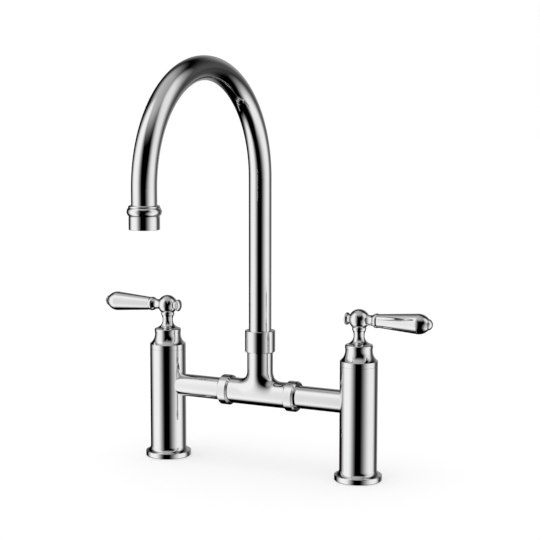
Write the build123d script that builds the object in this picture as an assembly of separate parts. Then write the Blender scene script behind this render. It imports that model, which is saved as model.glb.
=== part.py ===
from build123d import *
import os
from math import sqrt

# Bridge kitchen faucet: two pillar valves, a raised bridge with a tee, and a swivelling
# swan-neck spout. Millimetres, +Z up. The origin lies on the deck, midway between the
# pillars, on the spout's swivel axis. The spout reaches towards -Y, where the user stands.
# A side's pieces are drawn round the pillar's own axis with +X towards the tee, then set
# at the left pillar, and mirrored for the right one.

# ---- overall layout ----
PILLAR_SPACING = 203.2          # between the pillars' axes, 8 in
PILLAR_HEIGHT = 105.35          # deck to the joint under the bonnet
BRIDGE_DROP = 34.35             # pillar's top down to the bridge's axis
LEVER_RISE = 22.8               # bonnet's top to the lever's axis
BEND_RADIUS = 98.8              # swan neck, on the tube's centreline
SPOUT_RISE = 142.6              # swivel nut's top to the bend's centre
SPOUT_DROP = 13.2               # bend's centre down to the outlet bead's top

# ---- clearances ----
RUNNING = 0.05                  # radial, a shaft in its bore
GAP = 0.3                       # between faces that turn past each other
JOINT_CHAMFER = 0.45            # eased edges that show a joint line

# ---- pillar ----
PILLAR_RADIUS = 17.3
FLANGE_PROUD = 4.6              # flange beyond the column
FLANGE_THICKNESS = 5.2          # at its rim
FLANGE_COVE = 4.8               # height of the hollow sweep from the rim into the column
FLANGE_EDGE = 0.6               # rounded rim
FLANGE_FOOT_EDGE = 1.0
INLET_RADIUS = 9.3              # minor radius of a G1/2 thread
INLET_DEPTH = 14.0
PASSAGE_RADIUS = 6.0            # inlet to the valve seat
SEAT_DROP = 15.0                # bridge's axis down to the valve seat
CHAMBER_RELIEF = 0.6            # chamber inside the cartridge's thread
GASKET_RIM = 3.2                # flange's rim round the deck gasket
GASKET_WIDTH = 4.5
GASKET_THICKNESS = 2.0

# ---- valve cartridge ----
CARTRIDGE_WALL = 2.0
DISC_RADIUS = 8.0               # bore that holds the ceramic discs
DISC_PORT_RADIUS = 5.5          # quarter openings in the discs
SEAT_SEAL_HEIGHT = 4.0
SEAT_SEAL_PROUD = 1.5           # seal below the cartridge's bottom face
SEAT_SEAL_WALL = 2.5
FIXED_DISC_THICKNESS = 2.5
TURNING_DISC_THICKNESS = 3.0
WINDOW_WIDTH = 9.0
WINDOW_HEIGHT = 9.0
WINDOW_RISE = 0.5               # discs to the window's sill
CARTRIDGE_THREAD_LENGTH = 11.0
CARTRIDGE_WASHER_WIDTH = 1.4
CARTRIDGE_WASHER_THICKNESS = 1.0
CARTRIDGE_FLANGE_CLEARANCE = 0.55
CARTRIDGE_FLANGE_THICKNESS = 2.0
HEX_ACROSS_FLATS = 20.0
HEX_HEIGHT = 5.2
NECK_RADIUS = 9.0               # thread that the bonnet screws on

# ---- spindle and its small parts ----
SPINDLE_RADIUS = 6.0
SPINDLE_STEM_RADIUS = 3.5
SPINDLE_COLLAR_HEIGHT = 1.5
SPINDLE_COLLAR_RISE = 10.5      # discs to the collar's underside
THRUST_WASHER_THICKNESS = 1.0
TANG_WIDTH = 4.0
TANG_LENGTH = 12.0
TANG_DEPTH = 1.2
DRIVE_RADIUS = 3.0              # D-shaped end that carries the hub
DRIVE_FLAT = 2.3                # axis to the flat
DRIVE_RISE = 2.5                # above the lever's axis
SPINDLE_RING_SECTION = 0.9      # O-ring section radius
SPINDLE_RING_SPACING = 6.0
SPINDLE_RING_DROP = 14.0        # cartridge's top down to the upper O-ring
CLIP_PROUD = 1.5                # retaining ring beyond the spindle
CLIP_GROOVE_DEPTH = 0.8
CLIP_THICKNESS = 0.8
CLIP_OPENING = 5.0
CLIP_SPACE = 0.6                # clip to the bonnet's roof
SHOULDER_DROP = 0.15            # bonnet's roof down to the spindle's shoulder

# ---- bonnet ----
BAND_HEIGHT = 4.95              # straight band above the joint
COVE_HEIGHT = 9.2
LIP_NECK_RADIUS = 12.48
LIP_STRAIGHT = 1.4              # straight side above the cove
LIP_PROUD = 0.27
LIP_FLARE = 1.5                 # height over which the lip swells
LIP_HEIGHT = 2.8                # above the swelling, to the flat top
LIP_EDGE = 1.2
BONNET_WALL = 2.2
BONNET_ROOF = 2.3
HUB_BUSH_WALL = 1.0

# ---- lever hub ----
BALL_RADIUS = 9.5
HUB_SPIGOT_RADIUS = 4.6
HUB_LIFT = 0.7                  # hub's foot above the bonnet
HUB_FOOT_RADIUS = 9.8
HUB_FOOT_EASE = 0.25            # bevel under the foot's thin edge
HUB_NECK_RADIUS = 4.95
HUB_NECK_DROP = 14.8            # lever's axis down to the neck's waist
HUB_COLLAR_RADIUS = 6.3         # at the collar's ends
HUB_COLLAR_PROUD = 0.15
HUB_COLLAR_HEIGHT = 2.6

# ---- lever arm, grip and tip, along the lever's axis ----
ARM_SEAT_RADIUS = 5.1           # flat on the ball where the arm lands
ARM_SPIGOT_RADIUS = 3.0
ARM_SPIGOT_WALL = 1.0           # between the spigot's end and the drive
LEVER_NECK_RADIUS = 4.7
LEVER_NECK_REACH = 11.0         # column's axis to the neck's waist
LEVER_FLARE = 4.6               # waist to the bead
BEAD_END_RADIUS = 6.3
BEAD_PROUD = 0.35
BEAD_LENGTH = 3.4
GRIP_START_RADIUS = 6.25
GRIP_TAPER = 38.5               # bead to the grip's widest place
GRIP_RADIUS = 9.25
GRIP_NOSE = 9.9                 # widest place to the flat end
GRIP_END_RADIUS = 4.2
GRIP_ROD_RADIUS = 2.5
TIP_RADIUS = 4.85
TIP_CROWN = 2.65
TIP_NECK_RADIUS = 4.0
TIP_NECK_LENGTH = 0.4
TIP_RIM = 0.3
TIP_SCREW_RADIUS = 1.5
TIP_SCREW_LENGTH = 10.0

# ---- back button ----
BUTTON_SEAT_RADIUS = 4.3        # flat on the ball's far side
BUTTON_NECK_RADIUS = 4.1
BUTTON_NECK_LENGTH = 2.45
BUTTON_RADIUS = 5.65
BUTTON_INNER_EASE = 0.4         # edges narrower than the widest place
BUTTON_OUTER_EASE = 0.15
BUTTON_THICKNESS = 1.8          # at its rim
BUTTON_WIDEST = 0.75            # from the button's inner face
BUTTON_CROWN = 1.9
BUTTON_SCREW_RADIUS = 2.0

# ---- bridge ----
PIPE_RADIUS = 10.6              # arms and spout tube, outside
PIPE_WALL = 1.5
ARM_SETBACK = 0.2               # arm's brazed end outside the valve chamber
TEE_RUN_WALL = 1.6              # beyond the pipe's radius
TEE_RISER_WALL = 1.5
TEE_FILLET = 7.0
UNION_START = 29.6              # swivel axis to the nut's inner end
UNION_LENGTH = 10.8
UNION_WALL = 2.1
UNION_CHAMFER = 1.5
UNION_EDGE = 0.35
UNION_THREAD = 4.9              # tee's run inside the nut
UNION_WASHER_THICKNESS = 1.0
ARM_FLANGE_THICKNESS = 2.0
ARM_FLANGE_CLEARANCE = 0.2

# ---- spout swivel ----
TEE_RISE = 39.2                 # bridge's axis to the swivel nut's underside
SWIVEL_NUT_WALL = 2.1
SWIVEL_NUT_TOP_EDGE = 0.6
SWIVEL_NUT_FOOT_CHAMFER = 0.7
SWIVEL_THREAD = 11.2            # tee's riser inside the nut
SWIVEL_LIP = 5.6                # nut's top down to its lip's underside
SWIVEL_WASHER_THICKNESS = 1.0
SPOUT_RING_THICKNESS = 2.0
SPOUT_RING_DEPTH = 0.9          # groove in the spigot
SPIGOT_DEPTH = 33.0             # below the tee's top
SPIGOT_WALL = 1.8               # inside the tube's bore
SPIGOT_PLUG = 11.0              # brazed inside the tube
SPIGOT_FLOOR_GAP = 2.0
TUBE_START = 2.0                # tube's lower end above the lip's underside
SPOUT_SEAL_SECTION = 0.75       # O-ring section radius
SPOUT_SEAL_DROP = 9.0           # tee's top down to the upper O-ring
SPOUT_SEAL_SPACING = 10.0

# ---- outlet, in radii beyond the tube's ----
STEP_PROUD = 2.4
STEP_HEIGHT = 1.8
STEP_EDGE = 1.55
BEAD_TOP_PROUD = 2.05
BEAD_WIDEST_PROUD = 3.7
BEAD_FOOT_PROUD = 1.75
BEAD_RISE = 3.35                # bead's widest place to its top
BEAD_FALL = 3.85                # and down to its foot
SHELL_PROUD = 2.1
SHELL_HEIGHT = 10.85
SHELL_EDGE = 0.45
SHELL_THREAD_STEP = 0.2         # thread inside the tube's radius
SHELL_THREAD_LENGTH = 5.0
SHELL_THREAD_WALL = 1.0
OUTLET_WASHER_THICKNESS = 1.1
OUTLET_WASHER_WIDTH = 2.8
INSERT_RECESS = 2.0
INSERT_HEIGHT = 11.0
INSERT_HOLE_RADIUS = 0.75
SCREEN_THICKNESS = 0.6
SCREEN_HOLE_RADIUS = 0.55
HOLE_PITCH = 2.35
HOLE_RINGS = 3

# ---- radii worked out from the sizes above ----
FLANGE_RADIUS = PILLAR_RADIUS + FLANGE_PROUD
GASKET_RADIUS = FLANGE_RADIUS - GASKET_RIM
BONNET_BORE = PILLAR_RADIUS - BONNET_WALL
CARTRIDGE_FLANGE_RADIUS = BONNET_BORE - CARTRIDGE_FLANGE_CLEARANCE
CARTRIDGE_THREAD_RADIUS = CARTRIDGE_FLANGE_RADIUS - CARTRIDGE_WASHER_WIDTH
CHAMBER_RADIUS = CARTRIDGE_THREAD_RADIUS - CHAMBER_RELIEF
CLIP_BORE = SPINDLE_RADIUS - CLIP_GROOVE_DEPTH
PIPE_BORE = PIPE_RADIUS - PIPE_WALL
TEE_RUN_RADIUS = PIPE_RADIUS + TEE_RUN_WALL
TEE_RISER_RADIUS = PIPE_RADIUS + TEE_RISER_WALL
SPIGOT_BORE = PIPE_BORE - SPIGOT_WALL
SPOUT_RING_BORE = PIPE_RADIUS - SPOUT_RING_DEPTH
SHELL_RADIUS = PIPE_RADIUS + SHELL_PROUD
SHELL_THREAD_RADIUS = PIPE_RADIUS - SHELL_THREAD_STEP
SHELL_BORE = SHELL_THREAD_RADIUS - SHELL_THREAD_WALL

# ---- places worked out in the same way ----
HALF_SPACING = PILLAR_SPACING / 2
BRIDGE_Z = PILLAR_HEIGHT - BRIDGE_DROP
SEAT_Z = BRIDGE_Z - SEAT_DROP
FIXED_DISC_Z = SEAT_Z + SEAT_SEAL_HEIGHT
TURNING_DISC_Z = FIXED_DISC_Z + FIXED_DISC_THICKNESS
DISCS_TOP = TURNING_DISC_Z + TURNING_DISC_THICKNESS
SPINDLE_COLLAR_Z = DISCS_TOP + SPINDLE_COLLAR_RISE
THRUST_WASHER_Z = SPINDLE_COLLAR_Z + SPINDLE_COLLAR_HEIGHT
CARTRIDGE_STEP_Z = THRUST_WASHER_Z + THRUST_WASHER_THICKNESS
CARTRIDGE_FLANGE_Z = PILLAR_HEIGHT + CARTRIDGE_WASHER_THICKNESS
HEX_Z = CARTRIDGE_FLANGE_Z + CARTRIDGE_FLANGE_THICKNESS
HEX_TOP = HEX_Z + HEX_HEIGHT
COVE_Z = PILLAR_HEIGHT + BAND_HEIGHT
LIP_NECK_Z = COVE_Z + COVE_HEIGHT
LIP_Z = LIP_NECK_Z + LIP_STRAIGHT
BONNET_TOP = LIP_Z + LIP_FLARE + LIP_HEIGHT
BONNET_CEILING = BONNET_TOP - BONNET_ROOF
CLIP_Z = BONNET_CEILING - CLIP_SPACE - CLIP_THICKNESS
SPINDLE_SHOULDER_Z = BONNET_CEILING - SHOULDER_DROP
LEVER_Z = BONNET_TOP + LEVER_RISE
DRIVE_TOP = LEVER_Z + DRIVE_RISE
ARM_SEAT = sqrt(BALL_RADIUS**2 - ARM_SEAT_RADIUS**2)
BUTTON_SEAT = sqrt(BALL_RADIUS**2 - BUTTON_SEAT_RADIUS**2)
ARM_SPIGOT_START = DRIVE_RADIUS + ARM_SPIGOT_WALL
BEAD_START = LEVER_NECK_REACH + LEVER_FLARE
GRIP_START = BEAD_START + BEAD_LENGTH
GRIP_WIDEST = GRIP_START + GRIP_TAPER
GRIP_END = GRIP_WIDEST + GRIP_NOSE
ROD_END = GRIP_END - TIP_NECK_LENGTH
TIP_SCREW_START = GRIP_END - TIP_SCREW_LENGTH
UNION_END = UNION_START + UNION_LENGTH
TEE_END = UNION_START + UNION_THREAD
ARM_FLANGE_START = TEE_END + UNION_WASHER_THICKNESS
ARM_FLANGE_END = ARM_FLANGE_START + ARM_FLANGE_THICKNESS
NUT_Z = BRIDGE_Z + TEE_RISE
TEE_TOP = NUT_Z + SWIVEL_THREAD
SPOUT_RING_Z = TEE_TOP + SWIVEL_WASHER_THICKNESS + GAP
NUT_LIP_Z = SPOUT_RING_Z + SPOUT_RING_THICKNESS + GAP
NUT_TOP = NUT_LIP_Z + SWIVEL_LIP
TUBE_START_Z = NUT_LIP_Z + TUBE_START
BEND_Z = NUT_TOP + SPOUT_RISE
OUTLET_Y = -2 * BEND_RADIUS
STEP_TOP = BEND_Z - SPOUT_DROP
BEAD_TOP = STEP_TOP - STEP_HEIGHT
BEAD_WIDEST = BEAD_TOP - BEAD_RISE
SHELL_TOP = BEAD_WIDEST - BEAD_FALL
SHELL_BOTTOM = SHELL_TOP - SHELL_HEIGHT
SHELL_THREAD_TOP = SHELL_TOP + SHELL_THREAD_LENGTH
TUBE_END_Z = SHELL_THREAD_TOP + OUTLET_WASHER_THICKNESS
SCREEN_Z = SHELL_BOTTOM + INSERT_RECESS + INSERT_HEIGHT


# ---- shared ways of making a shape ----
def turned(*profile):
    """A solid of revolution about Z. The profile is (radius, height) points in order."""
    return revolve(make_face(Polyline(*[(r, 0, z) for r, z in profile], close=True)), Axis.Z)


def turned_outline(*edges):
    """A solid of revolution about Z from lines and arcs that close round the profile."""
    return revolve(make_face(edges), Axis.Z)


def line(*points):
    """Straight lines through (radius, height) points."""
    return Polyline(*[(r, 0, z) for r, z in points])


def arc(start, middle, end):
    return ThreePointArc(*[(r, 0, z) for r, z in (start, middle, end)])


def flare(waist, end):
    """An arc that sets out from the waist parallel to the axis."""
    return TangentArc((waist[0], 0, waist[1]), (end[0], 0, end[1]), tangent=(0, 0, end[1] - waist[1]))


def dome(top, rim):
    """An arc that is square to the axis at its top."""
    return TangentArc((0, 0, top), (rim[0], 0, rim[1]), tangent=(1, 0, 0))


def ring(outer, inner, bottom, top):
    return turned((inner, bottom), (outer, bottom), (outer, top), (inner, top))


def rod(radius, bottom, top):
    return turned((0, bottom), (radius, bottom), (radius, top), (0, top))


def o_ring(section, outer, height):
    return Pos(0, 0, height) * Torus(outer - section, section)


def circle_edges(shape, radius, height):
    """The full-circle edges about Z of a shape, by their radius and height."""
    return [
        e for e in shape.edges().filter_by(GeomType.CIRCLE)
        if abs(e.radius - radius) < 1e-4 and abs(e.arc_center.Z - height) < 1e-4
    ]


def along_x(shape, height):
    """Lays a shape drawn along +Z so that it runs along +X at the given height."""
    return Pos(0, 0, height) * Rot(0, 90, 0) * shape


def outward(shape):
    """Lays a lever piece drawn along +Z so that it runs away from the tee."""
    return Pos(0, 0, LEVER_Z) * Rot(0, -90, 0) * shape


# ---- one side: pillar and inlet ----
def pillar():
    rim = (FLANGE_RADIUS, FLANGE_THICKNESS)
    cove_top = (PILLAR_RADIUS, FLANGE_THICKNESS + FLANGE_COVE)
    body = turned_outline(
        line((0, PILLAR_HEIGHT), (0, 0), (FLANGE_RADIUS, 0), rim),
        flare(cove_top, rim),
        line(cove_top, (PILLAR_RADIUS, PILLAR_HEIGHT), (0, PILLAR_HEIGHT)),
    )
    body = fillet(circle_edges(body, FLANGE_RADIUS, FLANGE_THICKNESS), FLANGE_EDGE)
    body = fillet(circle_edges(body, FLANGE_RADIUS, 0), FLANGE_FOOT_EDGE)
    thread_z = PILLAR_HEIGHT - CARTRIDGE_THREAD_LENGTH
    waterway = turned((0, 0), (INLET_RADIUS, 0), (INLET_RADIUS, INLET_DEPTH),
                      (PASSAGE_RADIUS, INLET_DEPTH), (PASSAGE_RADIUS, SEAT_Z), (CHAMBER_RADIUS, SEAT_Z),
                      (CHAMBER_RADIUS, thread_z), (CARTRIDGE_THREAD_RADIUS, thread_z),
                      (CARTRIDGE_THREAD_RADIUS, PILLAR_HEIGHT), (0, PILLAR_HEIGHT))
    arm_hole = along_x(rod(PIPE_RADIUS, 0, 2 * PILLAR_RADIUS), BRIDGE_Z)
    return body - waterway - arm_hole - deck_gasket()


def deck_gasket():
    return ring(GASKET_RADIUS, GASKET_RADIUS - GASKET_WIDTH, 0, GASKET_THICKNESS)


# ---- one side: valve cartridge, from the seat up ----
def seat_seal():
    return ring(DISC_RADIUS, DISC_RADIUS - SEAT_SEAL_WALL, SEAT_Z, FIXED_DISC_Z)


def disc_ports(bottom, top):
    """Two opposite quarter openings, with the side walls set in from the disc's middle."""
    quarter = rod(DISC_PORT_RADIUS, bottom, top)
    web = DISC_PORT_RADIUS / 4
    block = Box(DISC_PORT_RADIUS, DISC_PORT_RADIUS, top - bottom,
                align=(Align.MIN, Align.MIN, Align.MIN))
    corner = Pos(web / 2, web / 2, bottom) * block
    return [quarter & corner, quarter & (Rot(0, 0, 180) * corner)]


def fixed_disc():
    return rod(DISC_RADIUS, FIXED_DISC_Z, TURNING_DISC_Z) - disc_ports(FIXED_DISC_Z, TURNING_DISC_Z)


def turning_disc():
    ports = [Rot(0, 0, 90) * port for port in disc_ports(TURNING_DISC_Z, DISCS_TOP)]
    return rod(DISC_RADIUS - RUNNING, TURNING_DISC_Z, DISCS_TOP) - ports - spindle_tang()


def spindle_tang():
    tang = Box(TANG_LENGTH, TANG_WIDTH, TANG_DEPTH, align=(Align.CENTER, Align.CENTER, Align.MAX))
    return Pos(0, 0, DISCS_TOP) * tang


def cartridge_body():
    bottom = SEAT_Z + SEAT_SEAL_PROUD
    outer = DISC_RADIUS + CARTRIDGE_WALL
    thread_z = PILLAR_HEIGHT - CARTRIDGE_THREAD_LENGTH
    body = turned((0, bottom), (outer, bottom), (outer, thread_z), (CARTRIDGE_THREAD_RADIUS, thread_z),
                  (CARTRIDGE_THREAD_RADIUS, CARTRIDGE_FLANGE_Z),
                  (CARTRIDGE_FLANGE_RADIUS, CARTRIDGE_FLANGE_Z), (CARTRIDGE_FLANGE_RADIUS, HEX_Z),
                  (0, HEX_Z))
    hexagon = RegularPolygon(HEX_ACROSS_FLATS / 2, 6, major_radius=False)
    body += Pos(0, 0, HEX_Z) * extrude(hexagon, HEX_HEIGHT)
    body += rod(NECK_RADIUS, HEX_TOP, CLIP_Z)
    body -= rod(DISC_RADIUS, bottom, CARTRIDGE_STEP_Z)
    body -= rod(SPINDLE_RADIUS + RUNNING, CARTRIDGE_STEP_Z, CLIP_Z)
    window = Box(4 * outer, WINDOW_WIDTH, WINDOW_HEIGHT, align=(Align.CENTER, Align.CENTER, Align.MIN))
    window = Pos(0, 0, DISCS_TOP + WINDOW_RISE) * window
    return body - window - Rot(0, 0, 90) * window


def cartridge_washer():
    return ring(CARTRIDGE_FLANGE_RADIUS, CARTRIDGE_THREAD_RADIUS, PILLAR_HEIGHT, CARTRIDGE_FLANGE_Z)


def spindle_ring_heights():
    upper = CLIP_Z - SPINDLE_RING_DROP
    return [upper - SPINDLE_RING_SPACING, upper]


def spindle_rings():
    outer = SPINDLE_RADIUS + RUNNING / 2
    return Compound([o_ring(SPINDLE_RING_SECTION, outer, z) for z in spindle_ring_heights()])


def spindle():
    body = turned((0, DISCS_TOP), (SPINDLE_STEM_RADIUS, DISCS_TOP), (SPINDLE_STEM_RADIUS, SPINDLE_COLLAR_Z),
                  (DISC_RADIUS - GAP, SPINDLE_COLLAR_Z), (DISC_RADIUS - GAP, THRUST_WASHER_Z),
                  (SPINDLE_RADIUS, THRUST_WASHER_Z), (SPINDLE_RADIUS, SPINDLE_SHOULDER_Z),
                  (0, SPINDLE_SHOULDER_Z))
    foot = rod(TANG_LENGTH / 2, DISCS_TOP, DISCS_TOP + TANG_DEPTH)
    slab = Box(TANG_LENGTH, TANG_WIDTH, 2 * TANG_DEPTH)
    body += foot & (Pos(0, 0, DISCS_TOP + TANG_DEPTH) * slab)
    body += spindle_tang()
    body += drive(DRIVE_TOP)
    body -= ring(SPINDLE_RADIUS, CLIP_BORE, CLIP_Z, CLIP_Z + CLIP_THICKNESS)
    floor = SPINDLE_RADIUS + RUNNING / 2 - 2 * SPINDLE_RING_SECTION
    for z in spindle_ring_heights():
        body -= ring(SPINDLE_RADIUS, floor, z - SPINDLE_RING_SECTION, z + SPINDLE_RING_SECTION)
    return body


def drive(top):
    """The D-shaped end, flat towards the tee, where the back button's screw bears."""
    keep = Box(2 * DRIVE_RADIUS, 2 * DRIVE_RADIUS, top, align=(Align.MAX, Align.CENTER, Align.MIN))
    return rod(DRIVE_RADIUS, SPINDLE_SHOULDER_Z, top) & (Pos(DRIVE_FLAT, 0, 0) * keep)


def thrust_washer():
    return ring(DISC_RADIUS - GAP, SPINDLE_RADIUS, THRUST_WASHER_Z, CARTRIDGE_STEP_Z)


def spindle_clip():
    outer = SPINDLE_RADIUS + CLIP_PROUD
    clip = ring(outer, CLIP_BORE, CLIP_Z, CLIP_Z + CLIP_THICKNESS)
    return clip - Pos(outer, 0, CLIP_Z) * Box(2 * outer, CLIP_OPENING, 4 * CLIP_THICKNESS)


# ---- one side: bonnet and the bush in its roof ----
def bonnet():
    lip_r = LIP_NECK_RADIUS + LIP_PROUD
    body = turned_outline(
        line((0, PILLAR_HEIGHT), (PILLAR_RADIUS, PILLAR_HEIGHT), (PILLAR_RADIUS, COVE_Z)),
        flare((LIP_NECK_RADIUS, LIP_NECK_Z), (PILLAR_RADIUS, COVE_Z)),
        line((LIP_NECK_RADIUS, LIP_NECK_Z), (LIP_NECK_RADIUS, LIP_Z), (lip_r, LIP_Z + LIP_FLARE),
             (lip_r, BONNET_TOP), (0, BONNET_TOP), (0, PILLAR_HEIGHT)),
    )
    body = fillet(circle_edges(body, lip_r, BONNET_TOP), LIP_EDGE)
    body = chamfer(circle_edges(body, PILLAR_RADIUS, PILLAR_HEIGHT), JOINT_CHAMFER)
    hex_corner = HEX_ACROSS_FLATS / sqrt(3) + GAP
    body -= turned((0, PILLAR_HEIGHT), (BONNET_BORE, PILLAR_HEIGHT), (BONNET_BORE, HEX_Z + GAP),
                   (hex_corner, HEX_TOP + GAP), (0, HEX_TOP + GAP))
    body -= rod(NECK_RADIUS, HEX_TOP, BONNET_CEILING)
    return body - rod(HUB_SPIGOT_RADIUS + RUNNING + HUB_BUSH_WALL, BONNET_CEILING, BONNET_TOP)


def hub_bush():
    inner = HUB_SPIGOT_RADIUS + RUNNING
    return ring(inner + HUB_BUSH_WALL, inner, BONNET_CEILING, BONNET_TOP)


# ---- one side: hub, lever and back button ----
def lever_hub():
    foot_z = BONNET_TOP + HUB_LIFT
    neck = (HUB_NECK_RADIUS, LEVER_Z - HUB_NECK_DROP)
    foot = (HUB_FOOT_RADIUS, foot_z + HUB_FOOT_EASE)
    ball_z = LEVER_Z - sqrt(BALL_RADIUS**2 - HUB_COLLAR_RADIUS**2)
    ball_start = (HUB_COLLAR_RADIUS, ball_z)
    collar = (HUB_COLLAR_RADIUS, ball_z - HUB_COLLAR_HEIGHT)
    collar_middle = (HUB_COLLAR_RADIUS + HUB_COLLAR_PROUD, ball_z - HUB_COLLAR_HEIGHT / 2)
    ball_top = LEVER_Z + BALL_RADIUS
    body = turned_outline(
        line((0, ball_top), (0, foot_z), (HUB_FOOT_RADIUS - HUB_FOOT_EASE, foot_z), foot),
        flare(neck, foot),
        flare(neck, collar),
        arc(collar, collar_middle, ball_start),
        arc(ball_start, (BALL_RADIUS, LEVER_Z), (0, ball_top)),
    )
    body += rod(HUB_SPIGOT_RADIUS, SPINDLE_SHOULDER_Z, foot_z)
    body -= drive(DRIVE_TOP)
    body -= outward(rod(BALL_RADIUS, ARM_SEAT, BALL_RADIUS))
    body -= outward(rod(ARM_SPIGOT_RADIUS, ARM_SPIGOT_START, ARM_SEAT))
    body -= outward(rod(BALL_RADIUS, -BALL_RADIUS, -BUTTON_SEAT))
    return body - outward(rod(BUTTON_SCREW_RADIUS, -BUTTON_SEAT, -DRIVE_FLAT))


def lever_arm():
    seat = (ARM_SEAT_RADIUS, ARM_SEAT)
    neck = (LEVER_NECK_RADIUS, LEVER_NECK_REACH)
    bead = (BEAD_END_RADIUS, BEAD_START)
    bead_middle = (BEAD_END_RADIUS + BEAD_PROUD, BEAD_START + BEAD_LENGTH / 2)
    shoulder = (GRIP_START_RADIUS, GRIP_START)
    body = turned_outline(
        line((0, ARM_SEAT), seat),
        flare(neck, seat),
        flare(neck, bead),
        arc(bead, bead_middle, shoulder),
        line(shoulder, (GRIP_ROD_RADIUS, GRIP_START), (GRIP_ROD_RADIUS, ROD_END), (0, ROD_END),
             (0, ARM_SEAT)),
    )
    body += rod(ARM_SPIGOT_RADIUS, ARM_SPIGOT_START, ARM_SEAT)
    return outward(body - rod(TIP_SCREW_RADIUS, TIP_SCREW_START, ROD_END))


def lever_grip():
    widest = (GRIP_RADIUS, GRIP_WIDEST)
    end = (GRIP_END_RADIUS, GRIP_END)
    body = turned_outline(
        line(end, (0, GRIP_END), (0, GRIP_START), (GRIP_START_RADIUS, GRIP_START), widest),
        flare(widest, end),
    )
    return outward(body - rod(GRIP_ROD_RADIUS, GRIP_START, GRIP_END))


def lever_tip():
    """A domed button whose screw clamps the grip on the arm."""
    neck_end = GRIP_END + TIP_NECK_LENGTH
    rim = (TIP_RADIUS, neck_end + TIP_RIM)
    apex = rim[1] + TIP_CROWN
    body = turned_outline(
        line((0, apex), (0, GRIP_END), (TIP_NECK_RADIUS, GRIP_END), (TIP_NECK_RADIUS, neck_end),
             (TIP_RADIUS, neck_end), rim),
        dome(apex, rim),
    )
    return outward(body + rod(TIP_SCREW_RADIUS, TIP_SCREW_START, GRIP_END))


def back_button():
    """A domed button whose screw clamps the hub on the spindle's flat."""
    inner = BUTTON_SEAT + BUTTON_NECK_LENGTH
    face = inner + BUTTON_THICKNESS
    edge = (BUTTON_RADIUS - BUTTON_INNER_EASE, inner)
    rim = (BUTTON_RADIUS - BUTTON_OUTER_EASE, face)
    body = turned_outline(
        line((0, face + BUTTON_CROWN), (0, BUTTON_SEAT), (BUTTON_NECK_RADIUS, BUTTON_SEAT),
             (BUTTON_NECK_RADIUS, inner), edge),
        arc(edge, (BUTTON_RADIUS, inner + BUTTON_WIDEST), rim),
        dome(face + BUTTON_CROWN, rim),
    )
    return along_x(body + rod(BUTTON_SCREW_RADIUS, DRIVE_FLAT, BUTTON_SEAT), LEVER_Z)


# ---- one side: bridge arm and its union ----
def arm_pipe():
    """Brazed into the pillar, with a flange at the tee's end that the union nut draws up."""
    flange_radius = TEE_RUN_RADIUS - ARM_FLANGE_CLEARANCE
    flange_start = HALF_SPACING - ARM_FLANGE_END
    end = HALF_SPACING - ARM_FLANGE_START
    start = CHAMBER_RADIUS + ARM_SETBACK
    body = turned((PIPE_BORE, start), (PIPE_RADIUS, start), (PIPE_RADIUS, flange_start),
                  (flange_radius, flange_start), (flange_radius, end), (PIPE_BORE, end))
    return along_x(body, BRIDGE_Z)


def union_washer():
    start = HALF_SPACING - ARM_FLANGE_START
    return along_x(ring(TEE_RUN_RADIUS - ARM_FLANGE_CLEARANCE, PIPE_BORE, start,
                        start + UNION_WASHER_THICKNESS), BRIDGE_Z)


def union_nut():
    near = HALF_SPACING - UNION_END
    far = HALF_SPACING - UNION_START
    outer = TEE_RUN_RADIUS + UNION_WALL
    body = rod(outer, near, far)
    for end, rim in ((near, near + UNION_CHAMFER), (far, far - UNION_CHAMFER)):
        body = chamfer(circle_edges(body, outer, end), UNION_CHAMFER)
        body = fillet(circle_edges(body, outer, rim), UNION_EDGE)
    body -= rod(PIPE_RADIUS, near, HALF_SPACING - ARM_FLANGE_END)
    body -= rod(TEE_RUN_RADIUS, HALF_SPACING - ARM_FLANGE_END, far)
    return along_x(body, BRIDGE_Z)


# ---- the tee and the spout's swivel ----
def bridge_tee():
    run = Pos(-TEE_END, 0, 0) * along_x(rod(TEE_RUN_RADIUS, 0, 2 * TEE_END), BRIDGE_Z)
    riser = rod(TEE_RISER_RADIUS, BRIDGE_Z, TEE_TOP)
    body = run + riser
    near_run = BRIDGE_Z + TEE_RUN_RADIUS
    crotch = [
        e for e in body.edges()
        if e.bounding_box().max.Z < near_run + JOINT_CHAMFER
        and abs(e.bounding_box().size.X - 2 * TEE_RISER_RADIUS) < JOINT_CHAMFER
    ]
    body = fillet(crotch, TEE_FILLET)
    body -= Pos(-TEE_END, 0, 0) * along_x(rod(PIPE_BORE, 0, 2 * TEE_END), BRIDGE_Z)
    body -= rod(PIPE_BORE, BRIDGE_Z, TEE_TOP)
    return body - rod(PIPE_RADIUS + RUNNING, TEE_TOP - SPIGOT_DEPTH - SPIGOT_FLOOR_GAP, TEE_TOP)


def swivel_nut():
    outer = TEE_RISER_RADIUS + SWIVEL_NUT_WALL
    body = rod(outer, NUT_Z, NUT_TOP)
    body = chamfer(circle_edges(body, outer, NUT_Z), SWIVEL_NUT_FOOT_CHAMFER)
    body = fillet(circle_edges(body, outer, NUT_TOP), SWIVEL_NUT_TOP_EDGE)
    body -= rod(TEE_RISER_RADIUS, NUT_Z, NUT_LIP_Z)
    return body - rod(PIPE_RADIUS + RUNNING, NUT_LIP_Z, NUT_TOP)


def swivel_washer():
    return ring(TEE_RISER_RADIUS, PIPE_RADIUS + RUNNING, TEE_TOP, TEE_TOP + SWIVEL_WASHER_THICKNESS)


def spout_ring():
    """Seated in the spigot's groove: it holds the spout down under the swivel nut's lip."""
    return ring(TEE_RISER_RADIUS - GAP, SPOUT_RING_BORE, SPOUT_RING_Z, SPOUT_RING_Z + SPOUT_RING_THICKNESS)


def spout_seal_heights():
    upper = TEE_TOP - SPOUT_SEAL_DROP
    return [upper - SPOUT_SEAL_SPACING, upper]


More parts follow.
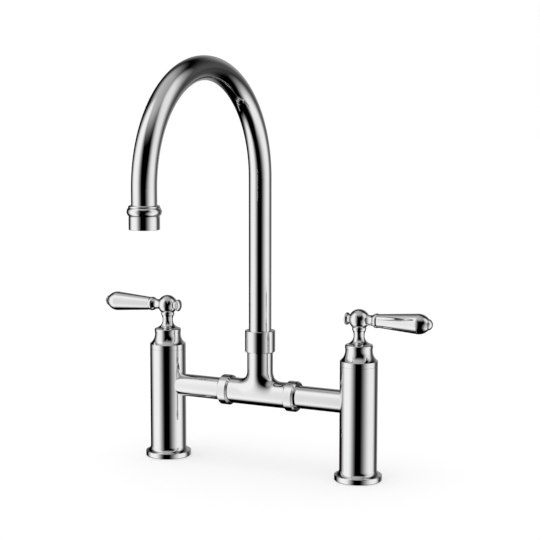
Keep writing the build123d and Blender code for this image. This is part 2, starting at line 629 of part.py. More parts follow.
def spout_o_rings():
    outer = PIPE_RADIUS + RUNNING / 2
    return Compound([o_ring(SPOUT_SEAL_SECTION, outer, z) for z in spout_seal_heights()])


def spout_spigot():
    bottom = TEE_TOP - SPIGOT_DEPTH
    plug_top = TUBE_START_Z + SPIGOT_PLUG
    body = turned((SPIGOT_BORE, bottom), (PIPE_RADIUS, bottom), (PIPE_RADIUS, TUBE_START_Z),
                  (PIPE_BORE, TUBE_START_Z), (PIPE_BORE, plug_top), (SPIGOT_BORE, plug_top))
    body -= ring(PIPE_RADIUS, SPOUT_RING_BORE, SPOUT_RING_Z, SPOUT_RING_Z + SPOUT_RING_THICKNESS)
    floor = PIPE_RADIUS + RUNNING / 2 - 2 * SPOUT_SEAL_SECTION
    for z in spout_seal_heights():
        body -= ring(PIPE_RADIUS, floor, z - SPOUT_SEAL_SECTION, z + SPOUT_SEAL_SECTION)
    return body


def spout_tube():
    """One tube bent through a half turn, from the spigot up, over and down to the outlet."""
    up = Line((0, 0, TUBE_START_Z), (0, 0, BEND_Z))
    bend = ThreePointArc((0, 0, BEND_Z), (0, -BEND_RADIUS, BEND_Z + BEND_RADIUS), (0, OUTLET_Y, BEND_Z))
    down = Line((0, OUTLET_Y, BEND_Z), (0, OUTLET_Y, TUBE_END_Z))
    section = Plane.XY.offset(TUBE_START_Z) * (Circle(PIPE_RADIUS) - Circle(PIPE_BORE))
    return sweep(section, Wire([up, bend, down]))


# ---- outlet: bead ring on the tube, and the aerator that screws up into it ----
def outlet_bead():
    step_r = PIPE_RADIUS + STEP_PROUD
    widest = (PIPE_RADIUS + BEAD_WIDEST_PROUD, BEAD_WIDEST)
    top = (PIPE_RADIUS + BEAD_TOP_PROUD, BEAD_TOP)
    foot = (PIPE_RADIUS + BEAD_FOOT_PROUD, SHELL_TOP)
    body = turned_outline(
        line(foot, (0, SHELL_TOP), (0, STEP_TOP), (step_r, STEP_TOP), (step_r, BEAD_TOP), top),
        flare(widest, top),
        flare(widest, foot),
    )
    body = fillet(circle_edges(body, step_r, STEP_TOP), STEP_EDGE)
    body -= rod(PIPE_RADIUS, TUBE_END_Z, STEP_TOP)
    return body - rod(SHELL_THREAD_RADIUS, SHELL_TOP, TUBE_END_Z)


def aerator_shell():
    body = turned((SHELL_BORE, SHELL_BOTTOM), (SHELL_RADIUS, SHELL_BOTTOM), (SHELL_RADIUS, SHELL_TOP),
                  (SHELL_THREAD_RADIUS, SHELL_TOP), (SHELL_THREAD_RADIUS, SHELL_THREAD_TOP),
                  (SHELL_BORE, SHELL_THREAD_TOP))
    body = fillet(circle_edges(body, SHELL_RADIUS, SHELL_BOTTOM), SHELL_EDGE)
    return chamfer(circle_edges(body, SHELL_RADIUS, SHELL_TOP), JOINT_CHAMFER)


def outlet_washer():
    return ring(SHELL_THREAD_RADIUS, SHELL_THREAD_RADIUS - OUTLET_WASHER_WIDTH, SHELL_THREAD_TOP,
                TUBE_END_Z)


def perforated(hole_radius, bottom, top):
    """A round plate with a middle hole and rings of holes, six more in each ring outwards."""
    hole = rod(hole_radius, bottom, top)
    holes = [hole]
    for number in range(1, HOLE_RINGS + 1):
        holes += PolarLocations(number * HOLE_PITCH, 6 * number) * hole
    return rod(SHELL_BORE, bottom, top) - holes


def aerator_insert():
    return perforated(INSERT_HOLE_RADIUS, SHELL_BOTTOM + INSERT_RECESS, SCREEN_Z)


def aerator_screen():
    return perforated(SCREEN_HOLE_RADIUS, SCREEN_Z, SCREEN_Z + SCREEN_THICKNESS)


# ---- the assembly, one file for each piece ----
SIDE_PIECES = {
    "pillar": pillar,
    "deck_gasket": deck_gasket,
    "seat_seal": seat_seal,
    "fixed_disc": fixed_disc,
    "turning_disc": turning_disc,
    "cartridge_body": cartridge_body,
    "cartridge_washer": cartridge_washer,
    "spindle": spindle,
    "spindle_o_rings": spindle_rings,
    "thrust_washer": thrust_washer,
    "spindle_clip": spindle_clip,
    "bonnet": bonnet,
    "hub_bush": hub_bush,
    "lever_hub": lever_hub,
    "lever_arm": lever_arm,
    "lever_grip": lever_grip,
    "lever_tip": lever_tip,
    "back_button": back_button,
    "arm_pipe": arm_pipe,
    "union_washer": union_washer,
    "union_nut": union_nut,
}

CENTRE_PIECES = {
    "bridge_tee": bridge_tee,
    "swivel_nut": swivel_nut,
    "swivel_washer": swivel_washer,
    "spout_spigot": spout_spigot,
    "spout_ring": spout_ring,
    "spout_o_rings": spout_o_rings,
    "spout_tube": spout_tube,
}

OUTLET_PIECES = {
    "outlet_bead": outlet_bead,
    "outlet_washer": outlet_washer,
    "aerator_shell": aerator_shell,
    "aerator_insert": aerator_insert,
    "aerator_screen": aerator_screen,
}

os.makedirs("parts", exist_ok=True)
for name, make in SIDE_PIECES.items():
    left = Pos(-HALF_SPACING, 0, 0) * make()
    export_step(left, f"parts/left_{name}.step")
    export_step(mirror(left, about=Plane.YZ), f"parts/right_{name}.step")
for name, make in CENTRE_PIECES.items():
    export_step(make(), f"parts/{name}.step")
for name, make in OUTLET_PIECES.items():
    export_step(Pos(0, OUTLET_Y, 0) * make(), f"parts/{name}.step")
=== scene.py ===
from math import atan, cos, pi, radians, sin, tan

import bmesh
import bpy
from mathutils import Matrix, Vector


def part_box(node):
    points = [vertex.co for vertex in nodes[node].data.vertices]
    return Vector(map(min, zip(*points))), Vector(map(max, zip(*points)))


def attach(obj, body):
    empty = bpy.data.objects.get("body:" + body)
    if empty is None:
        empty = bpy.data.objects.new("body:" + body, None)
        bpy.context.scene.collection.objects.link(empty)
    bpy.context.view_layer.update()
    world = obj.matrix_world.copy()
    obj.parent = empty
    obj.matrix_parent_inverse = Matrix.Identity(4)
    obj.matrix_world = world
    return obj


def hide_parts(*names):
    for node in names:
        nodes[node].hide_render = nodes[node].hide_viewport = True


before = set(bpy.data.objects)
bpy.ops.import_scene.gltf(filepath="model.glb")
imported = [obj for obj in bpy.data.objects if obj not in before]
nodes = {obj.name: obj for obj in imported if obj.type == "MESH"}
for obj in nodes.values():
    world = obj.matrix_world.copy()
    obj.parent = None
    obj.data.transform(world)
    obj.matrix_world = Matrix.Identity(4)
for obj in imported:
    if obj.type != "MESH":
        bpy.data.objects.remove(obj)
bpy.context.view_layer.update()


# ------------------------------------------------------------------- the camera
# It stands 27.9 degrees round towards the right-hand lever and looks down
# 6.6 degrees, with a long lens that keeps the two pillars nearly parallel.

CAMERA_AZIMUTH = 27.8585
CAMERA_DIP = 6.5877
CAMERA_ROLL = 0.0747
CAMERA_PLACE = (0.6337, -1.17929, 0.341935)
SENSOR = 36.0
FOCAL_IN_WIDTHS = 2.67686

camera_data = bpy.data.cameras.new("camera")
camera_data.sensor_width = SENSOR
camera_data.lens = FOCAL_IN_WIDTHS * SENSOR
camera_data.clip_start = 0.05
camera_data.clip_end = 50
camera = bpy.data.objects.new("camera", camera_data)
camera.matrix_world = (
    Matrix.Translation(CAMERA_PLACE)
    @ Matrix.Rotation(radians(CAMERA_AZIMUTH), 4, "Z")
    @ Matrix.Rotation(radians(90 - CAMERA_DIP), 4, "X")
    @ Matrix.Rotation(radians(CAMERA_ROLL), 4, "Z")
)
bpy.context.scene.collection.objects.link(camera)
bpy.context.scene.camera = camera
bpy.context.scene.view_settings.view_transform = "Standard"


# ------------------------------------------------------------------- the studio
# Two tall softboxes, one each side, with a black flag between them where the
# camera stands, a dim ceiling and a grey back wall. They are far away, so the
# world holds them, and chrome shows them by direction alone.


class Wire:
    """A socket of a node tree. Sums and products of wires add Math nodes."""

    def __init__(self, tree, socket=None):
        self.tree = tree
        self.socket = socket

    def node(self, kind, settings=None, inputs=None, output=0):
        """Adds a node: its settings first, then what its sockets get."""
        made = self.tree.nodes.new(kind)
        for name, setting in (settings or {}).items():
            setattr(made, name, setting)
        for name, given in (inputs or {}).items():
            if isinstance(given, Wire):
                self.tree.links.new(given.socket, made.inputs[name])
            else:
                made.inputs[name].default_value = given
        return Wire(self.tree, made.outputs[output] if made.outputs else None)

    def maths(self, operation, *values):
        return self.node("ShaderNodeMath", {"operation": operation}, dict(enumerate(values)))

    def __add__(self, other):
        return self.maths("ADD", self, other)

    def __sub__(self, other):
        return self.maths("SUBTRACT", self, other)

    def __mul__(self, other):
        return self.maths("MULTIPLY", self, other)

    def __radd__(self, other):
        return self.maths("ADD", other, self)

    def __rsub__(self, other):
        return self.maths("SUBTRACT", other, self)

    def __rmul__(self, other):
        return self.maths("MULTIPLY", other, self)

    def eased(self, start, end, low=0.0, high=1.0):
        """From low at start to high at end, with soft ends."""
        ends = {"From Min": start, "From Max": end, "To Min": low, "To Max": high}
        smooth = {"interpolation_type": "SMOOTHSTEP"}
        return self.node("ShaderNodeMapRange", smooth, {"Value": self, **ends})

    def along(self, direction):
        """How far this vector reaches along a direction."""
        dot = {"operation": "DOT_PRODUCT"}
        return self.node("ShaderNodeVectorMath", dot, {0: self, 1: direction}, "Value")

    def scaled(self, factors):
        times = {"operation": "MULTIPLY"}
        return self.node("ShaderNodeVectorMath", times, {0: self, 1: factors})


def brighter(one, other):
    return one.maths("MAXIMUM", one, other)


WHITE = (1, 1, 1, 1)
TO_DEGREES = 180 / pi

world = bpy.data.worlds.new("studio")
bpy.context.scene.world = world
world.use_nodes = True
world.node_tree.nodes.clear()
world.cycles.sampling_method = "NONE"
studio = Wire(world.node_tree)
looking = studio.node("ShaderNodeTexCoord", output="Generated")
height = looking.maths("ARCSINE", looking.along((0, 0, 1))) * TO_DEGREES


def round_from(turn):
    """Degrees round from a direction, itself counted from the camera's."""
    facing = radians(CAMERA_AZIMUTH + turn)
    ahead = looking.along((sin(facing), -cos(facing), 0))
    aside = looking.along((cos(facing), sin(facing), 0))
    return looking.maths("ARCTAN2", aside, ahead) * TO_DEGREES


def card(across, starts, ends, foot, top, level):
    """A lit card. Each edge is the angle where it is dark, and where fully lit."""
    lit = across.eased(*starts) * across.eased(*ends)
    return lit * height.eased(*foot) * height.eased(*top) * level


# The left softbox has rounded corners, so it narrows away from its middle.
LEFT_BOX_TURN = -80
LEFT_BOX_MIDDLE = 2.3
LEFT_BOX_ROUNDING = 7.5e-5
from_left = round_from(LEFT_BOX_TURN)
off_middle = height - LEFT_BOX_MIDDLE
squared = off_middle * off_middle
corners = squared * LEFT_BOX_ROUNDING + height.eased(-40, -75, low=1.0, high=1.6)
left_box = card(
    from_left * corners,
    starts=(-56, -11),
    ends=(62, 13),
    foot=(-74, -46),
    top=(90, 51),
    level=0.995,
)

# The right softbox leans back, so its upper half starts further round, and it
# is drawn in at its foot.
RIGHT_BOX_TURN = 80
LEANS_BETWEEN = (-15, 23)
DRAWN_IN_BETWEEN = (-42, -60)
from_right = round_from(RIGHT_BOX_TURN)
dark_at = height.eased(*LEANS_BETWEEN, -74.4, -51.9) + height.eased(*DRAWN_IN_BETWEEN, 0, 22)
lit_at = height.eased(*LEANS_BETWEEN, -10.4, -11.1) + height.eased(*DRAWN_IN_BETWEEN, 0, 8)
narrowing = height.eased(-13, 14, low=0, high=3.6) + height.eased(-20, -60, low=0, high=8)
dimming_upward = height.eased(-10, 20, low=0.946, high=0.845)
right_box = card(
    from_right,
    starts=(dark_at, lit_at),
    ends=(43.1 - narrowing, 8.4 - narrowing),
    foot=(-70.6, -43.9),
    top=(82.4, 46.9),
    level=dimming_upward,
)

# The back wall is grey, and the softboxes spill a little light beside it.
BACK_WALL_TURN = 168
from_behind = round_from(BACK_WALL_TURN)
back_wall = card(
    from_behind,
    starts=(-39, -9),
    ends=(39, 2),
    foot=(-40, -19),
    top=(47, 19),
    level=0.257,
)
SPILL_TURNS_BETWEEN = (-5, 10)
spill_dark = height.eased(*SPILL_TURNS_BETWEEN, -64.6, -69.1)
spill_lit = height.eased(*SPILL_TURNS_BETWEEN, -31.6, -51.2)
spill = card(
    from_behind,
    starts=(spill_dark, spill_lit),
    ends=(42, 8),
    foot=(-32, -8),
    top=(53.5, 12.3),
    level=0.076,
)

# The ceiling card ends over the right-hand corner behind the faucet, and it is
# brighter on the left than on the right.
CEILING_LEVEL = 0.44
CEILING_FALL = 0.234
CEILING_CORNER_TURN = 142.7
toward_corner = radians(CAMERA_AZIMUTH + CEILING_CORNER_TURN)
over_corner = looking.along((sin(toward_corner), -cos(toward_corner), 0))
toward_right = radians(CAMERA_AZIMUTH + 90)
over_right = looking.along((sin(toward_right), -cos(toward_right), 0))
ceiling_level = CEILING_LEVEL - over_right * CEILING_FALL
ceiling = height.eased(30, 66) * over_corner.eased(0.6, 0.15) * ceiling_level
seen_in_chrome = brighter(brighter(left_box, right_box), brighter(back_wall + spill, ceiling))

# Chrome sees the cards. The camera sees a plain white backdrop, and matt
# surfaces take an even light that is a little weaker.
SOFT_FILL = 0.8
mirrored = studio.node("ShaderNodeLightPath", output="Is Glossy Ray")
in_view = studio.node("ShaderNodeLightPath", output="Is Camera Ray")
even = in_view + (1 - in_view) * SOFT_FILL
strength = mirrored * seen_in_chrome + (1 - mirrored) * even
shine = studio.node("ShaderNodeBackground", None, {"Color": WHITE, "Strength": strength})
studio.node("ShaderNodeOutputWorld", None, {"Surface": shine})


# ----------------------------------------------------------- the overhead light
# One wide soft lamp over the faucet, for the faint shadow on the floor. The
# chrome doesn't show it, because the ceiling card above stands for it there.

LAMP_SPREAD = 50
LAMP_LEAN = (14, -10, 0)
LAMP_STRENGTH = 0.5

lamp_data = bpy.data.lights.new("overhead", "SUN")
lamp_data.angle = radians(LAMP_SPREAD)
lamp_data.energy = LAMP_STRENGTH
lamp = bpy.data.objects.new("overhead", lamp_data)
lamp.rotation_euler = [radians(lean) for lean in LAMP_LEAN]
lamp.visible_glossy = False
bpy.context.scene.collection.objects.link(lamp)


# -------------------------------------------------------------------- the floor
# A plain matt white sweep that the faucet stands on. It takes a faint soft
# shadow, and its back is clear, so that the underside can be looked at.

FLOOR_REACH = 12.0
FLOOR_DROP = 0.0002
FLOOR_COLOUR = (0.62, 0.62, 0.62, 1)
FLOOR_GLOW = 0.44

corner_signs = ((-1, -1), (1, -1), (1, 1), (-1, 1))
floor_corners = [(x * FLOOR_REACH, y * FLOOR_REACH, -FLOOR_DROP) for x, y in corner_signs]
floor_mesh = bpy.data.meshes.new("floor")
floor_mesh.from_pydata(floor_corners, [], [(0, 1, 2, 3)])
floor = bpy.data.objects.new("floor", floor_mesh)
bpy.context.scene.collection.objects.link(floor)

floor_material = bpy.data.materials.new("floor")
floor_material.use_nodes = True
floor_material.node_tree.nodes.clear()
paper = Wire(floor_material.node_tree)
seen = paper.node("ShaderNodeLightPath", output="Is Camera Ray")
matt = paper.node("ShaderNodeBsdfDiffuse", None, {"Color": FLOOR_COLOUR})
glow = paper.node("ShaderNodeEmission", None, {"Color": WHITE, "Strength": seen * FLOOR_GLOW})
lit_paper = paper.node("ShaderNodeAddShader", None, {0: matt, 1: glow})
clear = paper.node("ShaderNodeBsdfTransparent")
below = paper.node("ShaderNodeNewGeometry", output="Backfacing")
sweep = paper.node("ShaderNodeMixShader", None, {0: below, 1: lit_paper, 2: clear})
paper.node("ShaderNodeOutputMaterial", None, {"Surface": sweep})
floor_mesh.materials.append(floor_material)
floor.visible_glossy = False


# ------------------------------------------------------------------ the pillars
# Each pillar is a turned brass column with its foot flange in one piece. It is
# polished on the lathe, then nickel and chrome plated, and stands on the deck.

SIDES = ("left", "right")


def new_finish(name):
    """A new material, and the place on the piece that its nodes start from."""
    material = bpy.data.materials.new(name)
    material.use_nodes = True
    material.node_tree.nodes.clear()
    place = Wire(material.node_tree).node("ShaderNodeTexCoord", output="Object")
    return material, place


def mottle(place, scale, detail=3.0, distortion=0.0):
    inputs = {"Vector": place, "Scale": scale, "Detail": detail, "Distortion": distortion}
    return place.node("ShaderNodeTexNoise", None, inputs)


SPECK_RIM = 0.6


def specks(place, scale, radius):
    """Round specks, one in each cell of a scattered grid."""
    spread = {"Vector": place, "Scale": scale, "Randomness": 1.0}
    nearest = place.node("ShaderNodeTexVoronoi", {"feature": "F1"}, spread, "Distance")
    return nearest.eased(radius, radius * SPECK_RIM)


def surfaced(place, clean, marked, marks, rough, relief, depth, **fixed):
    """Joins a finish's two colours, its roughness and its relief in one shader."""
    two = {"Factor": marks, "A": clean, "B": marked}
    colour = place.node("ShaderNodeMix", {"data_type": "RGBA"}, two, "Result")
    raised = {"Strength": 1.0, "Distance": depth, "Height": relief}
    bump = place.node("ShaderNodeBump", None, raised)
    inputs = {"Base Color": colour, "Roughness": rough, "Normal": bump, **fixed}
    body = place.node("ShaderNodeBsdfPrincipled", None, inputs)
    place.node("ShaderNodeOutputMaterial", None, {"Surface": body})


def dress(material, *names):
    """Gives CAD nodes a finish in place of their plain one."""
    for name in names:
        for place in nodes[name].material_slots:
            place.material = material


def dress_sides(material, *names):
    dress(material, *[f"{side}_{name}" for side in SIDES for name in names])


CHROME_BRIGHT = (0.868, 0.870, 0.871, 1)
CHROME_HAZED = (0.835, 0.838, 0.841, 1)
MIRROR = 0.012
WIPED = 0.022
DRIED = 0.04
WIPING_STROKE = (1, 1, 0.3)


def chrome(name, lines_across, depth, waviness=2.0):
    """Mirror chrome: the fine lines of the last polishing, a slow waviness, a
    trace of wiping haze, and rare spots of dried water. The lines lie across
    the direction that has the largest factor."""
    material, place = new_finish(name)
    haze = mottle(place, scale=38, detail=5, distortion=0.6).eased(0.44, 0.74)
    strokes = place.scaled(WIPING_STROKE)
    wiping = mottle(strokes, scale=210, detail=4, distortion=1.2)
    dulled = haze * wiping.eased(0.5, 0.72, low=0.55, high=1.0)
    rare = mottle(place, scale=24, detail=1).eased(0.6, 0.7)
    spots = specks(place, scale=150, radius=0.16) * rare
    lines = mottle(place.scaled(lines_across), scale=1, detail=6)
    waves = mottle(place, scale=60, detail=1)
    surfaced(
        place,
        CHROME_BRIGHT,
        CHROME_HAZED,
        marks=dulled,
        rough=MIRROR + dulled * WIPED + spots * DRIED,
        relief=lines + waves * waviness,
        depth=depth,
        Metallic=1.0,
    )
    return material


ROUND_THE_COLUMN = (60, 60, 2600)
column_chrome = chrome("chrome_column", ROUND_THE_COLUMN, depth=3.0e-7)
dress_sides(column_chrome, "pillar")


# ------------------------------------------------------------- the deck gaskets
# A moulded nitrile ring is let into each flange's underside and seals on the
# deck. The O-rings and sleeve seals inside are moulded in the same compound.

RUBBER_BLACK = (0.020, 0.020, 0.021, 1)
RUBBER_BLOOM = (0.075, 0.074, 0.070, 1)

nitrile, place = new_finish("rubber_nitrile")
bloom = mottle(place, scale=130, detail=5, distortion=0.9).eased(0.48, 0.78)
grain = mottle(place, scale=2400, detail=2)
surfaced(
    place,
    RUBBER_BLACK,
    RUBBER_BLOOM,
    marks=bloom,
    rough=0.52 + bloom * 0.2 + grain * 0.1,
    relief=grain,
    depth=4.0e-6,
)
dress_sides(nitrile, "deck_gasket", "seat_seal", "spindle_o_rings")


# ------------------------------------------------------------ the ceramic discs
# Two alumina discs, pressed, fired and lapped flat, slide on each other and
# open or close the water's way. They are ivory, with a fine sintered speckle.

ALUMINA = (0.82, 0.79, 0.72, 1)
ALUMINA_PORE = (0.60, 0.57, 0.51, 1)
LAPPING_LINES = (900, 2800, 900)

alumina, place = new_finish("ceramic_alumina")
clustered = mottle(place, scale=300, detail=2).eased(0.42, 0.6)
pores = specks(place, scale=2200, radius=0.35) * clustered
lapping = mottle(place.scaled(LAPPING_LINES), scale=1, detail=4)
surfaced(
    place,
    ALUMINA,
    ALUMINA_PORE,
    marks=pores,
    rough=0.09 + lapping * 0.1 + pores * 0.3,
    relief=lapping - pores,
    depth=8.0e-7,
)
dress_sides(alumina, "fixed_disc", "turning_disc")


# -------------------------------------------- the cartridges and their spindles
# Each cartridge is turned from free-cutting brass and left bare: threaded body,
# hexagon and windows, and the spindle inside it. The cutter leaves fine rings,
# and the brass has browned a little with handling.

BRASS_CUT = (0.80, 0.60, 0.29, 1)
BRASS_BROWNED = (0.50, 0.31, 0.12, 1)
CUTTER_RINGS = (40, 40, 4200)

bare_brass, place = new_finish("brass_turned")
browned = mottle(place, scale=85, detail=6, distortion=1.1).eased(0.46, 0.8)
rings = mottle(place.scaled(CUTTER_RINGS), scale=1, detail=3)
surfaced(
    place,
    BRASS_CUT,
    BRASS_BROWNED,
    marks=browned,
    rough=0.16 + browned * 0.22 + rings * 0.14,
    relief=rings,
    depth=3.0e-6,
    Metallic=1.0,
)
dress_sides(bare_brass, "cartridge_body", "spindle")


# ------------------------------------------------------------ the fibre washers
# Flat washers punched from vulcanised fibre seal each cartridge's flange and
# each union. They are brick red, matt, with pale matted fibres on the faces.

FIBRE_RED = (0.34, 0.065, 0.038, 1)
FIBRE_STRAND = (0.56, 0.21, 0.13, 1)
STRAND_LIE = (1.0, 3.2, 1.6)

red_fibre, place = new_finish("fibre_vulcanised")
matted = mottle(place.scaled(STRAND_LIE), scale=620, detail=5, distortion=2.4)
strands = matted.eased(0.50, 0.70)
surfaced(
    place,
    FIBRE_RED,
    FIBRE_STRAND,
    marks=strands,
    rough=0.62 + strands * 0.22,
    relief=strands,
    depth=9.0e-6,
)
dress_sides(red_fibre, "cartridge_washer", "union_washer")


# ----------------------------------------------- the bearing washers and bushes
# Turned acetal rings carry what turns: the washer over the spindle's collar
# and the bush in the bonnet's roof. White, waxy, with faint rings of the tool.

ACETAL_WHITE = (0.79, 0.78, 0.74, 1)
ACETAL_GREASED = (0.66, 0.62, 0.52, 1)
TOOL_RINGS = (50, 50, 3000)

acetal, place = new_finish("acetal_turned")
greased = mottle(place, scale=110, detail=4, distortion=1.6).eased(0.52, 0.76)
tooled = mottle(place.scaled(TOOL_RINGS), scale=1, detail=3)
surfaced(
    place,
    ACETAL_WHITE,
    ACETAL_GREASED,
    marks=greased,
    rough=0.42 - greased * 0.16 + tooled * 0.1,
    relief=tooled,
    depth=2.0e-6,
)
dress_sides(acetal, "thrust_washer", "hub_bush")


# ---------------------------------------------------------- the retaining clips
# An open ring, blanked from stainless strip and tumbled, springs into the
# spindle's groove. The strip's rolling grain still runs across its faces.

STEEL_TUMBLED = (0.60, 0.59, 0.57, 1)
STEEL_DULL = (0.42, 0.41, 0.40, 1)
ROLLING_GRAIN = (70, 3200, 400)

strip_steel, place = new_finish("stainless_strip")
rolled = mottle(place.scaled(ROLLING_GRAIN), scale=1, detail=4)
dull = mottle(place, scale=160, detail=4, distortion=0.7).eased(0.45, 0.75)
surfaced(
    place,
    STEEL_TUMBLED,
    STEEL_DULL,
    marks=dull,
    rough=0.2 + rolled * 0.16 + dull * 0.12,
    relief=rolled,
    depth=2.0e-6,
    Metallic=1.0,
)
dress_sides(strip_steel, "spindle_clip")


# ----------------------------------------------------- the bonnets and the hubs
# The bell-shaped bonnet screws down over the cartridge. The spool-shaped hub
# stands on the spindle just above it, and ends in the ball that carries the
# lever. Both are turned brass, polished in the lathe and chrome plated.

bonnet_chrome = chrome("chrome_bonnet", ROUND_THE_COLUMN, depth=2.5e-7, waviness=1.4)
dress_sides(bonnet_chrome, "bonnet", "lever_hub")


# ------------------------------------------------------------------- the levers
# A neck and bead in one with the rod, a grip that swells towards its end, a
# domed tip whose screw clamps it, and a domed button behind the ball. All are
# turned about the lever's own axis, so the polishing runs round that.

ROUND_THE_LEVER = (2600, 60, 60)
lever_chrome = chrome("chrome_lever", ROUND_THE_LEVER, depth=3.0e-7)
dress_sides(lever_chrome, "lever_arm", "lever_grip", "lever_tip", "back_button")


# ----------------------------------------------- the bridge arms and union nuts
# Each arm is drawn tube, polished lengthwise and brazed into its pillar. The
# union nut is turned, with a chamfer at each end, and draws it to the tee.

ALONG_THE_ARM = (60, 2200, 2200)
arm_chrome = chrome("chrome_arm", ALONG_THE_ARM, depth=2.0e-7, waviness=1.2)
dress_sides(arm_chrome, "arm_pipe")
dress_sides(lever_chrome, "union_nut")


# ---------------------------------------------------------------------- the tee
# The tee is forged in one piece with its riser, and the corner between them is
# dressed to a soft blend that dies out at the front and back. It is bored from
# three sides, buffed all over and plated, and the union nuts take its ends.

tee_low, tee_high = (Vector(corner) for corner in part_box("bridge_tee"))
spigot_low, spigot_high = (Vector(corner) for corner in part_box("spout_spigot"))
RUN_RADIUS = tee_high.y
RUN_REACH = tee_high.x
RUN_AXIS = tee_low.z + RUN_RADIUS
RISER_TOP = tee_high.z
RISER_SLIMMER = 0.0001
RISER_RADIUS = RUN_RADIUS - RISER_SLIMMER
BLEND_WIDTH = 0.0096
BLEND_REACH = 0.021
RISER_STRAIGHT = RUN_AXIS + BLEND_REACH  # the riser is straight above this height
FOOT_WIDTH = 0.010
FOOT_RISE = 0.0075
RISER_FOOT = RUN_AXIS + FOOT_RISE  # the riser fades into the run about here
WATERWAY_RADIUS = 0.0091
SPIGOT_PLAY = 0.00005
SPIGOT_FLOOR = 0.002
SIDE_STEPS = 64
END_STEPS = 20
BLEND_STEPS = 40
RISER_STEPS = 6
UNDER_STEPS = 32
SETTLING = 12


def joined(one, other, width):
    """Two solids run together over a width. A solid is given by how far outside
    it a place is, and by which way is out."""
    (far, out), (other_far, other_out) = one, other
    share = min(max(0.5 + (far - other_far) / (2 * width), 0), 1)
    nearest = far + (other_far - far) * share - width * share * (1 - share)
    return nearest, out.lerp(other_out, share)


def turned_inside_out(solid):
    return -solid[0], -solid[1]


def outside_tee(place):
    """How far outside the tee's skin a place is, and which way is out there."""
    run_out = Vector((0, place.y, place.z - RUN_AXIS))
    riser_out = Vector((place.x, place.y, 0))
    run = (run_out.length - RUN_RADIUS, run_out.normalized())
    column = (riser_out.length - RISER_RADIUS, riser_out.normalized())
    over_foot = (RISER_FOOT - place.z, Vector((0, 0, -1)))
    cut = joined(turned_inside_out(column), turned_inside_out(over_foot), FOOT_WIDTH)
    return joined(run, turned_inside_out(cut), BLEND_WIDTH)


def on_skin(place):
    """The place on the tee's skin that a place near it settles to."""
    for _ in range(SETTLING):
        far, out = outside_tee(place)
        place = place - out * (far / out.length_squared)
    return place


def evenly(start, end, steps):
    return [start + (end - start) * step / steps for step in range(steps + 1)]


# The rim goes once round the run at its axis: along the front, over the right
# end, along the back and over the left end.
widest_turn = atan(RUN_REACH / RUN_RADIUS)
stations = [RUN_RADIUS * tan(turn) for turn in evenly(-widest_turn, widest_turn, SIDE_STEPS)]
half_turns = evenly(0, pi, END_STEPS)[:-1]
front = [Vector((x, -RUN_RADIUS, RUN_AXIS)) for x in stations[:-1]]
right_end = [
    Vector((RUN_REACH, -RUN_RADIUS * cos(turn), RUN_AXIS + RUN_RADIUS * sin(turn)))
    for turn in half_turns
]
half_turned = Matrix.Rotation(pi, 4, "Z")
rim = front + right_end
rim += [half_turned @ place for place in rim]


def around_riser(place, at_height):
    """Straight in from a place on the rim, on the riser at a height."""
    outward = Vector((place.x, place.y, 0)).normalized() * RISER_RADIUS
    return outward + Vector((0, 0, at_height))


rows = [
    [around_riser(place, at_height) for place in rim]
    for at_height in evenly(RISER_TOP, RISER_STRAIGHT, RISER_STEPS)
]
for share in evenly(0, 1, BLEND_STEPS)[1:]:
    rows.append(
        [on_skin(around_riser(place, RISER_STRAIGHT).lerp(place, share)) for place in rim]
    )
under = [
    [
        on_skin(Vector((x, -RUN_RADIUS * cos(turn), RUN_AXIS - RUN_RADIUS * sin(turn))))
        for turn in evenly(0, pi, UNDER_STEPS)
    ]
    for x in stations
]


def lay_strips(mesh, lines, closed):
    """Fills between neighbouring lines of places with quads."""
    laid = [[mesh.verts.new(place) for place in line] for line in lines]
    count = len(laid[0])
    for line, following in zip(laid, laid[1:]):
        for at in range(count if closed else count - 1):
            nearby = (at + 1) % count
            mesh.faces.new((line[at], following[at], following[nearby], line[nearby]))


SAME_PLACE = 1.0e-6
tee_shape = bmesh.new()
lay_strips(tee_shape, rows, True)
lay_strips(tee_shape, under, False)
bmesh.ops.remove_doubles(tee_shape, verts=tee_shape.verts, dist=SAME_PLACE)
open_edges = [edge for edge in tee_shape.edges if edge.is_boundary]
bmesh.ops.holes_fill(tee_shape, edges=open_edges, sides=0)
bmesh.ops.recalc_face_normals(tee_shape, faces=tee_shape.faces)
tee_mesh = bpy.data.meshes.new("tee_forging")
tee_shape.to_mesh(tee_mesh)
tee_shape.free()
tee = bpy.data.objects.new("tee_forging", tee_mesh)
bpy.context.scene.collection.objects.link(tee)

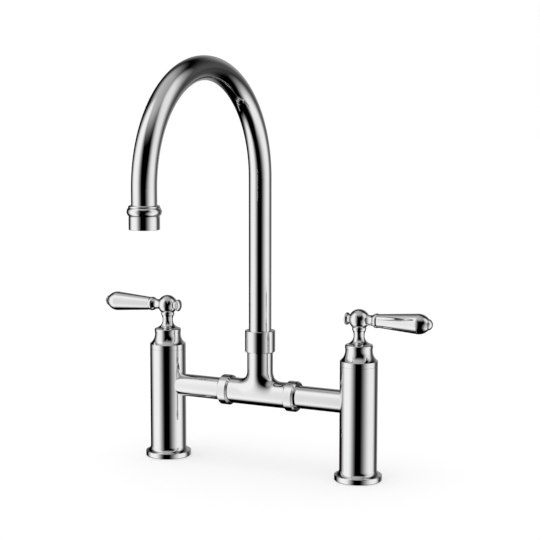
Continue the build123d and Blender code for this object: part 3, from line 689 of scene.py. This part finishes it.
# Three straight borings: the waterway through the run, the waterway up the
# riser, and the wider socket for the spigot.
DRILL_FACETS = 96
OVERSHOOT = 1.2
run_middle = Vector((0, 0, RUN_AXIS))
riser_mouth = Vector((0, 0, RISER_TOP))
past_end = Vector((RUN_REACH * OVERSHOOT, 0, 0))
past_top = Vector((0, 0, RISER_RADIUS))
socket_floor = Vector((0, 0, spigot_low.z - SPIGOT_FLOOR))
borings = (
    (WATERWAY_RADIUS, run_middle - past_end, run_middle + past_end),
    (WATERWAY_RADIUS, run_middle, riser_mouth + past_top),
    (spigot_high.x + SPIGOT_PLAY, socket_floor, riser_mouth + past_top),
)
drills = []
for radius, start, end in borings:
    lie = (end - start).to_track_quat("Z", "Y").to_matrix().to_4x4()
    drill_shape = bmesh.new()
    bmesh.ops.create_cone(
        drill_shape,
        cap_ends=True,
        segments=DRILL_FACETS,
        radius1=radius,
        radius2=radius,
        depth=(end - start).length,
        matrix=Matrix.Translation((start + end) / 2) @ lie,
    )
    drill_mesh = bpy.data.meshes.new("drill")
    drill_shape.to_mesh(drill_mesh)
    drill_shape.free()
    drill = bpy.data.objects.new("drill", drill_mesh)
    bpy.context.scene.collection.objects.link(drill)
    boring = tee.modifiers.new("boring", "BOOLEAN")
    boring.operation = "DIFFERENCE"
    boring.solver = "EXACT"
    boring.object = drill
    drills.append(drill)
ready = bpy.context.evaluated_depsgraph_get()
bored_mesh = bpy.data.meshes.new_from_object(tee.evaluated_get(ready))
tee.modifiers.clear()
tee.data = bored_mesh
for drill in drills:
    bpy.data.objects.remove(drill)

# The outer skin is shaded by its own direction, and all else by its faces.
ON_SKIN = 1.0e-5
FACING_OUT = 0.8
SHARP = radians(30)
bored_mesh.shade_smooth()
bored_mesh.set_sharp_from_angle(angle=SHARP)
directions = [corner.vector.copy() for corner in bored_mesh.corner_normals]
for face in bored_mesh.polygons:
    for loop in face.loop_indices:
        far, out = outside_tee(bored_mesh.vertices[bored_mesh.loops[loop].vertex_index].co)
        out = out.normalized()
        if abs(far) < ON_SKIN and face.normal.dot(out) > FACING_OUT:
            directions[loop] = out
bored_mesh.normals_split_custom_set(directions)

BUFFED_ALL_OVER = (240, 240, 240)
buffed_chrome = chrome("chrome_buffed", BUFFED_ALL_OVER, depth=2.0e-7)
bored_mesh.materials.clear()
bored_mesh.materials.append(buffed_chrome)
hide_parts("bridge_tee")
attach(tee, "bridge")


# --------------------------------------------------------------- the swivel nut
# A plain turned nut closes the riser. Under its lip, a steel ring and an acetal
# washer hold the spout down and let it turn.

dress(bonnet_chrome, "swivel_nut")
dress(acetal, "swivel_washer")
dress(strip_steel, "spout_ring")


# -------------------------------------------------------------------- the spout
# One length of drawn brass tube is bent through a half turn, buffed along its
# length and plated. A turned brass spigot with two O-rings is brazed in its foot.

spout_chrome = chrome("chrome_spout", BUFFED_ALL_OVER, depth=1.6e-7, waviness=2.6)
dress(spout_chrome, "spout_tube")
dress(bare_brass, "spout_spigot")
dress(nitrile, "spout_o_rings")


# ------------------------------------------------------------------- the outlet
# A turned ring with a rounded bead is brazed on the tube's end, and the aerator
# screws up into it: a plain plated shell, a rubber washer, and a moulded insert
# under a punched steel screen.

dress(bonnet_chrome, "outlet_bead", "aerator_shell")
dress(nitrile, "outlet_washer")
dress(acetal, "aerator_insert")
dress(strip_steel, "aerator_screen")
